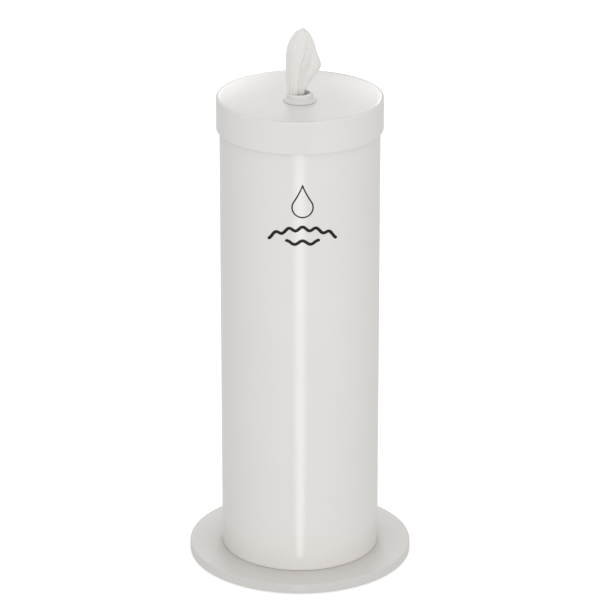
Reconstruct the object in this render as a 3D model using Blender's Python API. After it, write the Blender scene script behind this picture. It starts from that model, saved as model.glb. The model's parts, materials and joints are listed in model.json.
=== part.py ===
"""Floor-standing wipes dispenser: a weighted round foot, a tall tube, a slip-on lid with a
nozzle, a liner bucket with its handle and roll, and one wipe standing out of the nozzle.

Metres, +Z up. The origin is on the floor under the middle of the foot, and the dispenser's
front faces -Y.
"""
import math

import bmesh
import bpy
from mathutils import Matrix, Vector

# ---------------------------------------------------------------- clearances
TOUCH = 0.0003              # between pieces that rest on each other or are fixed together
SLIP = 0.0006               # around a pin or a screw in its hole
PAN_FIT = 0.0012            # around the shelf in the tube
LID_FIT = 0.0038            # around the tube inside the lid's skirt
BUCKET_FIT = 0.0068         # around the bucket's rim in the tube
ROLL_FIT = 0.0052           # around the roll on the bucket's floor
TAIL_FIT = 0.0027           # around the strip of wipe in the diaphragm's hole
WIPE_FIT = 0.0065           # around the wipe in the nozzle's throat

# ---------------------------------------------------------------- round foot
BASE_RADIUS = 0.180
BASE_TOP = 0.017            # height of the foot's flat top
BASE_WALL = 0.0015
BASE_EDGE = 0.003           # rounding of the pan's outer edge
BASE_LIFT = 0.002           # the pan's lower edge above the floor

FOOT_HEIGHT = 0.004
FOOT_RADIUS = 0.011
FOOT_ROUNDING = 0.001
FOOT_INSET = 0.030          # middle of a rubber foot to the pan's outside
FOOT_RECESS_DEPTH = 0.0022

PLATE_THICKNESS = 0.0012
PLATE_INSET = 0.001         # bottom plate to the pan's wall
WEIGHT_INSET = 0.005        # cast weight to the pan's wall

# ---------------------------------------------------------------- tube
TUBE_RADIUS = 0.127
TUBE_WALL = 0.0012
TUBE_HEM = 0.010            # height of the folded top edge
RING_THICKNESS = 0.002
RING_FLANGE = 0.030         # width of the ring that is bolted down
RING_UPSTAND = 0.030

# ---------------------------------------------------------------- lid
LID_TOP = 0.780             # height of the rim's crest
LID_WALL = 0.0012
LID_SKIRT = 0.052
LID_EDGE = 0.003            # rounding of the rim
LID_LIP = 0.0055            # from the lid's outside in to where the dish starts
LID_LIP_DROP = 0.0006       # the dish's outer edge below the crest
LID_DISH_DEPTH = 0.008
LID_LAND_MARGIN = 0.002     # flat middle of the dish around the nozzle's flange
LID_HEM = 0.008
SEAL_WIDTH = 0.008
SEAL_THICKNESS = 0.003
SEAL_INSET = 0.0023         # seal to the inside of the skirt

# ---------------------------------------------------------------- nozzle
NOZZLE_THROAT = 0.0155      # radius of its opening
NOZZLE_WALL = 0.006         # from the throat out to the thread
NOZZLE_NECK_WALL = 0.005    # of the neck that stands above the flange
NOZZLE_NECK_FILLET = 0.0015 # where the neck meets the flange
NOZZLE_BRIM = 0.0045        # width of the flange outside the thread
NOZZLE_BRIM_THICKNESS = 0.002
NOZZLE_BRIM_EDGE = 0.0008
NOZZLE_RISE = 0.014         # top of its lip above the dish's flat middle
NOZZLE_DEPTH = 0.020        # below the dish's flat middle
GASKET_THICKNESS = 0.001
GASKET_INSET = 0.001
NUT_RING_WIDTH = 0.0085
NUT_RING_HEIGHT = 0.006
DIAPHRAGM_SEAT = 0.002      # width of the step that it sits against
DIAPHRAGM_THICKNESS = 0.0015
DIAPHRAGM_RECESS = 0.004
DIAPHRAGM_HOLE = 0.0092
DIAPHRAGM_SLITS = 8
DIAPHRAGM_SLIT_INSET = 0.001    # end of a slit to the throat's wall

# ---------------------------------------------------------------- liner bucket
BUCKET_BELOW_LID = 0.025    # its rim below the lid's crest
BUCKET_HEADSPACE = 0.0325   # the roll's top below the bucket's rim
BUCKET_RIM_WIDTH = 0.0042   # the rim outside the wall
BUCKET_RIM_THICKNESS = 0.003
BUCKET_RIM_ROUNDING = 0.001
BUCKET_TAPER = 0.0078       # how much smaller its radius is at the bottom
BUCKET_WALL = 0.0018
BUCKET_FLOOR = 0.0022
BUCKET_CORNER = 0.004

EAR_THICKNESS = 0.004
EAR_WIDTH = 0.018
EAR_TOP_RADIUS = 0.0065
EAR_ROOT = 0.0024           # how deep an ear runs into the rim
EAR_INSET = 0.0018          # ear's outer face to the rim's outside
BAIL_WIRE = 0.002           # radius
BAIL_GAP = 0.004            # wire to the ear's inner face
BAIL_INSET = 0.006          # middle of the folded grip to the rim's outside
BAIL_BEND = 0.004
BAIL_END = 0.0025           # wire that stands out of the ear
GRIP_RADIUS = 0.006
GRIP_ANGLE = 0.40           # half the arc that the grip covers, in radians

# ---------------------------------------------------------------- shelf under the bucket
SHELF_WALL = 0.0015
SHELF_RIM = 0.008
SHELF_SCREW_INSET = 0.010   # middle of a screw to the shelf's outside
BRACKET_WIDTH = 0.030
BRACKET_LEG = 0.026
BRACKET_DROP = 0.036
BRACKET_THICKNESS = 0.002

# ---------------------------------------------------------------- wipes
ROLL_HEIGHT = 0.200
ROLL_HOLLOW = 0.030
TAIL_IN_ROLL = 0.108        # how far the strip hangs down into the roll's hollow
TAIL_HALF_THICKNESS = 0.0035
TAIL_TWIST = 2.4            # radians over its length
WIPE_ROOT = 0.014           # the wipe's lower end below the nozzle's lip
WIPE_HEIGHT = 0.106         # its tip above the nozzle's lip
WIPE_HALF_WIDTH = 0.028
WIPE_HALF_THICKNESS = 0.009

# ---------------------------------------------------------------- fasteners
BOLT_INSET = 0.0195         # middle of a bolt to the foot ring's outside
BOLT_RADIUS = 0.004
BOLT_HEAD_RADIUS = 0.0065
BOLT_HEAD_HEIGHT = 0.005
BOLT_END = 0.002            # thread that stands out of the nut
NUT_RADIUS = 0.0075         # across corners
NUT_HEIGHT = 0.0065
NUT_WASHER_RADIUS = 0.0085
NUT_WASHER_HEIGHT = 0.0015
SCREW_RADIUS = 0.002
SCREW_HEAD_RADIUS = 0.0046
SCREW_HEAD_HEIGHT = 0.0014
FOOT_SCREW_LENGTH = 0.0085
SHELF_SCREW_LENGTH = 0.008

# ---------------------------------------------------------------- roundness
FINE = 64                   # sides of the foot's pan, the tube and the lid
MEDIUM = 48
SMALL = 32
TINY = 16
SCREW_SIDES = 12
CUT_MARGIN = 0.01           # how far a drill runs past what it cuts

# ---------------------------------------------------------------- sizes that follow
PLATE_BOTTOM = FOOT_HEIGHT + TOUCH
PLATE_TOP = PLATE_BOTTOM + PLATE_THICKNESS
WEIGHT_BOTTOM = PLATE_TOP + TOUCH
WEIGHT_TOP = BASE_TOP - BASE_WALL - TOUCH
TUBE_INNER = TUBE_RADIUS - TUBE_WALL
TUBE_BOTTOM = BASE_TOP + TOUCH
FLANGE_TOP = TUBE_BOTTOM + RING_THICKNESS
RING_OUTER = TUBE_INNER - TOUCH
BOLT_CIRCLE = RING_OUTER - BOLT_INSET
FOOT_CIRCLE = BASE_RADIUS - FOOT_INSET

NOZZLE_THREAD = NOZZLE_THROAT + NOZZLE_WALL
NOZZLE_FLANGE = NOZZLE_THREAD + NOZZLE_BRIM
LID_RADIUS = TUBE_RADIUS + LID_FIT + LID_WALL
LID_LIP_RADIUS = LID_RADIUS - LID_LIP
LID_LAND = LID_TOP - LID_DISH_DEPTH
LID_LAND_RADIUS = NOZZLE_FLANGE + LID_LAND_MARGIN
LID_HOLE = NOZZLE_THREAD + SLIP
SEAL_OUTER = LID_RADIUS - LID_WALL - SEAL_INSET
SEAL_INNER = SEAL_OUTER - SEAL_WIDTH
NOZZLE_TOP = LID_LAND + NOZZLE_RISE
NOZZLE_BOTTOM = LID_LAND - NOZZLE_DEPTH
DIAPHRAGM_RADIUS = NOZZLE_THROAT + DIAPHRAGM_SEAT

BUCKET_HEIGHT = BUCKET_FLOOR + TOUCH + ROLL_HEIGHT + BUCKET_HEADSPACE
BUCKET_RIM = TUBE_INNER - BUCKET_FIT
BUCKET_RIM_TOP = LID_TOP - BUCKET_BELOW_LID
BUCKET_BOTTOM = BUCKET_RIM_TOP - BUCKET_HEIGHT
BUCKET_TOP_RADIUS = BUCKET_RIM - BUCKET_RIM_WIDTH
BUCKET_BOTTOM_RADIUS = BUCKET_TOP_RADIUS - BUCKET_TAPER
EAR_OUTER = BUCKET_RIM - EAR_INSET
EAR_INNER = EAR_OUTER - EAR_THICKNESS
BAIL_AXIS = BUCKET_RIM_TOP + GRIP_RADIUS + TOUCH
BAIL_HALF_WIDTH = EAR_INNER - BAIL_GAP - BAIL_WIRE
BAIL_REACH = BUCKET_RIM - BAIL_INSET

ROLL_RADIUS = BUCKET_BOTTOM_RADIUS - BUCKET_WALL - ROLL_FIT
ROLL_BOTTOM = BUCKET_BOTTOM + BUCKET_FLOOR + TOUCH
ROLL_TOP = ROLL_BOTTOM + ROLL_HEIGHT
SHELF_TOP = BUCKET_BOTTOM - TOUCH
SHELF_RADIUS = TUBE_INNER - PAN_FIT
SHELF_SCREW_CIRCLE = SHELF_RADIUS - SHELF_SCREW_INSET
WIPE_SPLIT = NOZZLE_TOP - WIPE_ROOT


def dish_height(radius):
    """Height of the lid's upper face: flat in the middle, then a shallow bowl up to the lip."""
    if radius <= LID_LAND_RADIUS:
        return LID_LAND
    share = (radius - LID_LAND_RADIUS) / (LID_LIP_RADIUS - LID_LAND_RADIUS)
    return LID_LAND + (LID_DISH_DEPTH - LID_LIP_DROP) * share ** 2


SEAL_TOP = dish_height(SEAL_INNER) - LID_WALL - TOUCH
SEAL_BOTTOM = SEAL_TOP - SEAL_THICKNESS
TUBE_TOP = SEAL_BOTTOM - TOUCH


# ================================================================ helpers
def clear_scene():
    for item in list(bpy.data.objects):
        bpy.data.objects.remove(item, do_unlink=True)


def finish_material(name, colour, roughness, metallic=0.0):
    material = bpy.data.materials.new(name)
    material.use_nodes = True
    shader = material.node_tree.nodes["Principled BSDF"]
    shader.inputs["Base Color"].default_value = (*colour, 1.0)
    shader.inputs["Roughness"].default_value = roughness
    shader.inputs["Metallic"].default_value = metallic
    return material


def joint_empty(name, height):
    """An empty on a joint's axis, which the moving pieces hang on."""
    empty = bpy.data.objects.new(name, None)
    bpy.context.scene.collection.objects.link(empty)
    empty.location = (0.0, 0.0, height)
    return empty


def add_piece(name, mesh, finish, parent=None):
    """Links a mesh, built in world places, with its origin at its parent's."""
    origin = parent.location.copy() if parent else Vector((0.0, 0.0, 0.0))
    mesh.transform(Matrix.Translation(-origin))
    mesh.name = name
    mesh.materials.append(materials[finish])
    mesh.shade_smooth()
    mesh.set_sharp_from_angle(angle=math.radians(32))
    piece = bpy.data.objects.new(name, mesh)
    bpy.context.scene.collection.objects.link(piece)
    piece.parent = parent
    return piece


def mesh_from(work):
    """Turns a closed bmesh into a mesh whose faces point outwards."""
    bmesh.ops.remove_doubles(work, verts=work.verts, dist=1e-6)
    bmesh.ops.recalc_face_normals(work, faces=work.faces)
    if work.calc_volume(signed=True) < 0.0:
        bmesh.ops.reverse_faces(work, faces=work.faces)
    mesh = bpy.data.meshes.new("shape")
    work.to_mesh(mesh)
    work.free()
    return mesh


def turned(profile, sides, centre=(0.0, 0.0)):
    """A solid turned about a vertical axis, from an outline of (radius, height) points.

    An outline whose two ends lie on the axis is left open there; any other one is closed.
    """
    work = bmesh.new()
    verts = [work.verts.new((radius, 0.0, height)) for radius, height in profile]
    edges = [work.edges.new(pair) for pair in zip(verts, verts[1:])]
    on_axis = profile[0][0] < 1e-9 and profile[-1][0] < 1e-9
    if not on_axis:
        edges.append(work.edges.new((verts[-1], verts[0])))
    bmesh.ops.spin(work, geom=verts + edges, cent=(0, 0, 0), axis=(0, 0, 1),
                   angle=math.tau, steps=sides, use_merge=True)
    bmesh.ops.translate(work, verts=work.verts, vec=(*centre, 0.0))
    return mesh_from(work)


def arc(centre_r, centre_z, radius, start, end, steps):
    """Points of a round corner in an outline, with angles in degrees."""
    points = []
    for step in range(steps + 1):
        angle = math.radians(start + (end - start) * step / steps)
        points.append((centre_r + radius * math.cos(angle), centre_z + radius * math.sin(angle)))
    return points


def prism(outline, width):
    """An outline of (x, z) points, extruded by a width along Y and centred on y = 0."""
    work = bmesh.new()
    face = work.faces.new([work.verts.new((x, -width / 2, z)) for x, z in outline])
    grown = bmesh.ops.extrude_face_region(work, geom=[face])
    moved = [item for item in grown["geom"] if isinstance(item, bmesh.types.BMVert)]
    bmesh.ops.translate(work, verts=moved, vec=(0.0, width, 0.0))
    return mesh_from(work)


def lofted(sections, sides):
    """A closed skin through level oval sections (height, centre x, half x, half y, turn)."""
    work = bmesh.new()
    loops = []
    for height, centre_x, half_x, half_y, turn in sections:
        loop = []
        for side in range(sides):
            angle = math.tau * side / sides
            x = half_x * math.cos(angle)
            y = half_y * math.sin(angle)
            spot = (centre_x + x * math.cos(turn) - y * math.sin(turn),
                    x * math.sin(turn) + y * math.cos(turn), height)
            loop.append(work.verts.new(spot))
        loops.append(loop)
    for low, high in zip(loops, loops[1:]):
        for side in range(sides):
            after = (side + 1) % sides
            work.faces.new((low[side], low[after], high[after], high[side]))
    work.faces.new(loops[0])
    work.faces.new(loops[-1])
    return mesh_from(work)


def swept(path, radius, sides, bore=None):
    """A round bar along a level path, or a tube around one when it has a bore."""
    work = bmesh.new()
    rings = []
    for index, spot in enumerate(path):
        before = path[max(index - 1, 0)]
        after = path[min(index + 1, len(path) - 1)]
        across = (after - before).normalized().cross(Vector((0.0, 0.0, 1.0)))
        for size in (radius, bore) if bore else (radius,):
            ring = []
            for side in range(sides):
                angle = math.tau * side / sides
                offset = across * math.cos(angle) + Vector((0.0, 0.0, math.sin(angle)))
                ring.append(work.verts.new(spot + offset * size))
            rings.append(ring)
    skins = 2 if bore else 1
    for skin in range(skins):
        strip = rings[skin::skins]
        for low, high in zip(strip, strip[1:]):
            for side in range(sides):
                after = (side + 1) % sides
                work.faces.new((low[side], low[after], high[after], high[side]))
    for end in (rings[:skins], rings[-skins:]):
        if bore:
            for side in range(sides):
                after = (side + 1) % sides
                work.faces.new((end[0][side], end[0][after], end[1][after], end[1][side]))
        else:
            work.faces.new(end[0])
    return mesh_from(work)


def ring_places(radius, first_degrees):
    """Four places, evenly spaced on a circle."""
    angles = [math.radians(first_degrees + 90.0 * index) for index in range(4)]
    return [(radius * math.cos(angle), radius * math.sin(angle)) for angle in angles]


def drill(piece, name, places, radius, low, high, sides=TINY):
    """Cuts round vertical holes through a piece between two heights."""
    work = bmesh.new()
    for x, y in places:
        spot = Matrix.Translation((x, y, (low + high) / 2))
        bmesh.ops.create_cone(work, cap_ends=True, segments=sides, radius1=radius,
                              radius2=radius, depth=high - low, matrix=spot)
    cut_with(piece, name, mesh_from(work), 'DIFFERENCE')


def cut_with(piece, name, mesh, operation):
    """Joins a guide mesh, built in world places, to a piece, or cuts it away."""
    guide = bpy.data.objects.new(name, mesh)
    bpy.context.scene.collection.objects.link(guide)
    guide.hide_render = True
    guide.display_type = 'WIRE'
    modifier = piece.modifiers.new(name, 'BOOLEAN')
    modifier.object = guide
    modifier.operation = operation
    modifier.solver = 'EXACT'


# ================================================================ materials
def make_materials():
    return {
        "enamel": finish_material("white_enamel", (0.83, 0.82, 0.80), 0.28),
        "iron": finish_material("cast_iron", (0.10, 0.10, 0.11), 0.75, 0.6),
        "steel": finish_material("galvanised_steel", (0.56, 0.57, 0.58), 0.42, 0.9),
        "zinc": finish_material("zinc_plated_steel", (0.62, 0.63, 0.65), 0.32, 1.0),
        "rubber": finish_material("black_rubber", (0.03, 0.03, 0.03), 0.85),
        "foam": finish_material("grey_foam", (0.20, 0.20, 0.21), 0.95),
        "nozzle": finish_material("white_nozzle_plastic", (0.80, 0.80, 0.78), 0.35),
        "bucket": finish_material("bucket_plastic", (0.72, 0.75, 0.76), 0.45),
        "grip": finish_material("grip_plastic", (0.80, 0.80, 0.80), 0.40),
        "wipe": finish_material("nonwoven_wipe", (0.86, 0.85, 0.83), 0.90),
    }


# ================================================================ foot
def make_base():
    inner = BASE_RADIUS - BASE_WALL
    corner_r = BASE_RADIUS - BASE_EDGE
    corner_z = BASE_TOP - BASE_EDGE
    cover = [(0.0, BASE_TOP)]
    cover += arc(corner_r, corner_z, BASE_EDGE, 90, 0, 4)
    cover += [(BASE_RADIUS, BASE_LIFT), (inner, BASE_LIFT)]
    cover += arc(corner_r, corner_z, BASE_EDGE - BASE_WALL, 0, 90, 2)
    cover += [(0.0, BASE_TOP - BASE_WALL)]
    base_cover = add_piece("base_cover", turned(cover, FINE), "enamel")

    weight_radius = inner - WEIGHT_INSET
    weight = [(0.0, WEIGHT_TOP), (weight_radius, WEIGHT_TOP),
              (weight_radius, WEIGHT_BOTTOM), (0.0, WEIGHT_BOTTOM)]
    base_weight = add_piece("base_weight", turned(weight, MEDIUM), "iron")

    plate_radius = inner - PLATE_INSET
    plate = [(0.0, PLATE_TOP), (plate_radius, PLATE_TOP),
             (plate_radius, PLATE_BOTTOM), (0.0, PLATE_BOTTOM)]
    bottom_plate = add_piece("base_bottom_plate", turned(plate, MEDIUM), "steel")

    bolts = ring_places(BOLT_CIRCLE, 0.0)
    feet = ring_places(FOOT_CIRCLE, 45.0)
    shank_hole = BOLT_RADIUS + SLIP
    head_bore = BOLT_HEAD_RADIUS + SLIP
    head_top = WEIGHT_BOTTOM + TOUCH + BOLT_HEAD_HEIGHT
    screw_hole = SCREW_RADIUS + TOUCH
    above = BASE_TOP + CUT_MARGIN
    drill(base_cover, "cover_bolt_holes", bolts, shank_hole, 0.0, above)
    drill(base_weight, "weight_bolt_holes", bolts, shank_hole, 0.0, above)
    drill(base_weight, "weight_head_bores", bolts, head_bore, 0.0, head_top + TOUCH)
    drill(base_weight, "weight_screw_holes", feet, screw_hole, 0.0, above, SCREW_SIDES)
    drill(bottom_plate, "plate_head_holes", bolts, head_bore + SLIP, 0.0, above)
    drill(bottom_plate, "plate_screw_holes", feet, screw_hole, 0.0, above, SCREW_SIDES)

    for number, place in enumerate(bolts, 1):
        make_bolt(f"base_bolt_{number}", place)
        make_flange_nut(f"base_nut_{number}", place)
    for number, place in enumerate(feet, 1):
        make_foot(f"base_foot_{number}", place)
        head_low = FOOT_RECESS_DEPTH - TOUCH - SCREW_HEAD_HEIGHT
        make_foot_screw(f"foot_screw_{number}", place, head_low)


def make_bolt(name, place):
    head_low = WEIGHT_BOTTOM + TOUCH
    head_high = head_low + BOLT_HEAD_HEIGHT
    tip = FLANGE_TOP + TOUCH + NUT_WASHER_HEIGHT + NUT_HEIGHT + BOLT_END
    outline = [(0.0, tip), (BOLT_RADIUS * 0.8, tip), (BOLT_RADIUS, tip - BOLT_RADIUS * 0.2),
               (BOLT_RADIUS, head_high), (BOLT_HEAD_RADIUS, head_high),
               (BOLT_HEAD_RADIUS, head_low), (0.0, head_low)]
    add_piece(name, turned(outline, SCREW_SIDES, place), "zinc")


def make_flange_nut(name, place):
    low = FLANGE_TOP + TOUCH
    middle = low + NUT_WASHER_HEIGHT
    high = middle + NUT_HEIGHT
    bore = BOLT_RADIUS + TOUCH
    washer = [(0.0, middle), (NUT_WASHER_RADIUS, middle), (NUT_WASHER_RADIUS, low), (0.0, low)]
    nut = add_piece(name, turned(washer, TINY, place), "zinc")
    hexagon = bmesh.new()
    overlap = NUT_WASHER_HEIGHT / 2
    spot = Matrix.Translation((*place, (middle + high - overlap) / 2))
    bmesh.ops.create_cone(hexagon, cap_ends=True, segments=6, radius1=NUT_RADIUS,
                          radius2=NUT_RADIUS, depth=high - middle + overlap, matrix=spot)
    cut_with(nut, name + "_hexagon", mesh_from(hexagon), 'UNION')
    drill(nut, name + "_bore", [place], bore, low - CUT_MARGIN, high + CUT_MARGIN, SCREW_SIDES)


def make_foot(name, place):
    hole = SCREW_RADIUS + TOUCH
    recess = SCREW_HEAD_RADIUS + SLIP
    outline = [(hole, FOOT_HEIGHT), (FOOT_RADIUS, FOOT_HEIGHT), (FOOT_RADIUS, FOOT_ROUNDING),
               (FOOT_RADIUS - FOOT_ROUNDING, 0.0), (recess, 0.0), (recess, FOOT_RECESS_DEPTH),
               (hole, FOOT_RECESS_DEPTH)]
    add_piece(name, turned(outline, TINY, place), "rubber")


def make_foot_screw(name, place, head_low):
    head_high = head_low + SCREW_HEAD_HEIGHT
    tip = head_high + FOOT_SCREW_LENGTH
    outline = [(0.0, tip), (SCREW_RADIUS, tip - SCREW_RADIUS), (SCREW_RADIUS, head_high),
               (SCREW_HEAD_RADIUS, head_high), (SCREW_HEAD_RADIUS * 0.7, head_low),
               (0.0, head_low)]
    add_piece(name, turned(outline, SCREW_SIDES, place), "zinc")


# ================================================================ tube
def make_tube():
    hem_inner = TUBE_INNER - TUBE_WALL
    hem_low = TUBE_TOP - TUBE_HEM
    rounding = TUBE_WALL * 0.5
    outline = [(TUBE_RADIUS, TUBE_BOTTOM), (TUBE_RADIUS, TUBE_TOP - rounding),
               (TUBE_RADIUS - rounding, TUBE_TOP), (hem_inner + rounding, TUBE_TOP),
               (hem_inner, TUBE_TOP - rounding), (hem_inner, hem_low),
               (TUBE_INNER, hem_low - TUBE_WALL), (TUBE_INNER, TUBE_BOTTOM)]
    add_piece("body_tube", turned(outline, FINE), "enamel")

    upstand = RING_OUTER - RING_THICKNESS
    inner = RING_OUTER - RING_FLANGE
    high = TUBE_BOTTOM + RING_UPSTAND
    outline = [(RING_OUTER, TUBE_BOTTOM), (RING_OUTER, high), (upstand, high),
               (upstand, FLANGE_TOP), (inner, FLANGE_TOP), (inner, TUBE_BOTTOM)]
    ring = add_piece("tube_foot_ring", turned(outline, MEDIUM), "steel")
    drill(ring, "ring_bolt_holes", ring_places(BOLT_CIRCLE, 0.0), BOLT_RADIUS + SLIP,
          BASE_TOP - CUT_MARGIN, FLANGE_TOP + CUT_MARGIN)


# ================================================================ shelf
def make_shelf():
    low = SHELF_TOP - SHELF_WALL
    high = SHELF_TOP + SHELF_RIM
    inner = SHELF_RADIUS - SHELF_WALL
    outline = [(0.0, low), (SHELF_RADIUS - SHELF_WALL, low), (SHELF_RADIUS, low + SHELF_WALL),
               (SHELF_RADIUS, high), (inner, high), (inner, SHELF_TOP), (0.0, SHELF_TOP)]
    shelf = add_piece("shelf", turned(outline, MEDIUM), "steel")
    places = ring_places(SHELF_SCREW_CIRCLE, 45.0)
    hole = SCREW_RADIUS + TOUCH
    drill(shelf, "shelf_screw_holes", places, hole, low - CUT_MARGIN, high, SCREW_SIDES)
    for number, place in enumerate(places, 1):
        make_bracket(f"shelf_bracket_{number}", 45.0 + 90.0 * (number - 1), place, low - TOUCH)
        make_shelf_screw(f"shelf_screw_{number}", place)


def make_bracket(name, degrees, place, top):
    """An angle bracket whose two vertical edges meet the round wall of the tube."""
    flat = TUBE_INNER * math.cos(math.pi / FINE) - TOUCH
    back = math.sqrt(flat ** 2 - (BRACKET_WIDTH / 2) ** 2)
    front = back - BRACKET_LEG
    thick = BRACKET_THICKNESS
    outline = [(back, top), (back, top - BRACKET_DROP), (back - thick, top - BRACKET_DROP),
               (back - thick, top - thick), (front, top - thick), (front, top)]
    mesh = prism(outline, BRACKET_WIDTH)
    mesh.transform(Matrix.Rotation(math.radians(degrees), 4, 'Z'))
    bracket = add_piece(name, mesh, "steel")
    hole = SCREW_RADIUS + TOUCH
    drill(bracket, name + "_hole", [place], hole, top - CUT_MARGIN, top + CUT_MARGIN,
          SCREW_SIDES)


def make_shelf_screw(name, place):
    low = SHELF_TOP + TOUCH
    high = low + SCREW_HEAD_HEIGHT
    tip = low - SHELF_SCREW_LENGTH
    outline = [(0.0, high), (SCREW_HEAD_RADIUS * 0.7, high), (SCREW_HEAD_RADIUS, low),
               (SCREW_RADIUS, low), (SCREW_RADIUS, tip + SCREW_RADIUS), (0.0, tip)]
    add_piece(name, turned(outline, SCREW_SIDES, place), "zinc")


# ================================================================ liner bucket
def make_bucket(parent):
    inner_bottom = BUCKET_BOTTOM_RADIUS - BUCKET_WALL
    inner_top = BUCKET_TOP_RADIUS - BUCKET_WALL
    floor = BUCKET_BOTTOM + BUCKET_FLOOR
    rim_low = BUCKET_RIM_TOP - BUCKET_RIM_THICKNESS
    outline = [(0.0, BUCKET_BOTTOM), (BUCKET_BOTTOM_RADIUS - BUCKET_CORNER, BUCKET_BOTTOM),
               (BUCKET_BOTTOM_RADIUS, BUCKET_BOTTOM + BUCKET_CORNER),
               (BUCKET_TOP_RADIUS, rim_low), (BUCKET_RIM, rim_low),
               (BUCKET_RIM, BUCKET_RIM_TOP - BUCKET_RIM_ROUNDING),
               (BUCKET_RIM - BUCKET_RIM_ROUNDING, BUCKET_RIM_TOP),
               (inner_top, BUCKET_RIM_TOP), (inner_bottom, floor + BUCKET_CORNER),
               (inner_bottom - BUCKET_CORNER, floor), (0.0, floor)]
    bucket = add_piece("bucket", turned(outline, MEDIUM), "bucket", parent)
    for side, label in ((1.0, "right"), (-1.0, "left")):
        cut_with(bucket, f"bucket_ear_{label}", ear_mesh(side), 'UNION')
    pin = bmesh.new()
    turn = Matrix.Rotation(math.pi / 2, 4, 'Y')
    spot = Matrix.Translation((0.0, 0.0, BAIL_AXIS))
    bmesh.ops.create_cone(pin, cap_ends=True, segments=SCREW_SIDES, radius1=BAIL_WIRE + SLIP,
                          radius2=BAIL_WIRE + SLIP, depth=2 * (BUCKET_RIM + CUT_MARGIN),
                          matrix=spot @ turn)
    cut_with(bucket, "bucket_pivot_holes", mesh_from(pin), 'DIFFERENCE')

    roll = [(ROLL_HOLLOW, ROLL_BOTTOM), (ROLL_RADIUS, ROLL_BOTTOM), (ROLL_RADIUS, ROLL_TOP),
            (ROLL_HOLLOW, ROLL_TOP)]
    add_piece("wipes_roll", turned(roll, MEDIUM), "wipe", parent)


def ear_mesh(side):
    """An upright ear on the rim, with a half-round top around the pivot."""
    half = EAR_WIDTH / 2
    outline = [(-half, BUCKET_RIM_TOP - EAR_ROOT), (-half, BUCKET_RIM_TOP)]
    outline += arc(0.0, BAIL_AXIS, EAR_TOP_RADIUS, 180, 0, 6)
    outline += [(half, BUCKET_RIM_TOP), (half, BUCKET_RIM_TOP - EAR_ROOT)]
    mesh = prism(outline, EAR_THICKNESS)
    mesh.transform(Matrix.Rotation(math.pi / 2, 4, 'Z'))
    mesh.transform(Matrix.Translation((side * (EAR_OUTER - EAR_THICKNESS / 2), 0.0, 0.0)))
    return mesh


def bail_path(first, last, steps):
    """Points of the handle's bow between two angles, folded back level behind the pivots."""
    points = []
    for step in range(steps + 1):
        angle = first + (last - first) * step / steps
        x = BAIL_HALF_WIDTH * math.cos(angle)
        y = BAIL_BEND + (BAIL_REACH - BAIL_BEND) * math.sin(angle)
        points.append(Vector((x, y, BAIL_AXIS)))
    return points


def make_bail(parent):
    end = EAR_OUTER + BAIL_END
    corner = arc(BAIL_HALF_WIDTH + BAIL_BEND, BAIL_BEND, BAIL_BEND, 270, 180, 4)
    right = [Vector((end, 0.0, BAIL_AXIS))] + [Vector((x, y, BAIL_AXIS)) for x, y in corner]
    left = [Vector((-spot.x, spot.y, spot.z)) for spot in reversed(right)]
    path = right + bail_path(0.0, math.pi, 32)[1:-1] + left
    add_piece("bucket_bail", swept(path, BAIL_WIRE, 8), "zinc", parent)
    middle = math.pi / 2
    grip_path = bail_path(middle - GRIP_ANGLE, middle + GRIP_ANGLE, 12)
    grip = swept(grip_path, GRIP_RADIUS, 12, bore=BAIL_WIRE + SLIP)
    add_piece("bail_grip", grip, "grip", parent)


# ================================================================ lid
def make_lid(parent):
    inner_wall = LID_RADIUS - LID_WALL
    corner_r = LID_RADIUS - LID_EDGE
    corner_z = LID_TOP - LID_EDGE
    skirt_low = LID_TOP - LID_SKIRT
    hem_inner = inner_wall - LID_WALL
    dish = [LID_LAND_RADIUS + (LID_LIP_RADIUS - LID_LAND_RADIUS) * share
            for share in (0.0, 0.25, 0.5, 0.75, 1.0)]
    outline = [(LID_HOLE, LID_LAND)]
    outline += [(radius, dish_height(radius)) for radius in dish]
    outline += arc(corner_r, corner_z, LID_EDGE, 100, 0, 5)
    outline += [(LID_RADIUS, skirt_low), (hem_inner, skirt_low),
                (hem_inner, skirt_low + LID_HEM), (inner_wall, skirt_low + LID_HEM + LID_WALL)]
    outline += arc(corner_r, corner_z, LID_EDGE - LID_WALL, 0, 90, 2)
    outline += [(radius, dish_height(radius) - LID_WALL) for radius in reversed(dish)]
    outline += [(LID_HOLE, LID_LAND - LID_WALL)]
    add_piece("lid_shell", turned(outline, FINE), "enamel", parent)

    seal = [(SEAL_INNER, SEAL_BOTTOM), (SEAL_OUTER, SEAL_BOTTOM), (SEAL_OUTER, SEAL_TOP),
            (SEAL_INNER, SEAL_TOP)]
    add_piece("lid_seal", turned(seal, MEDIUM), "foam", parent)


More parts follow.
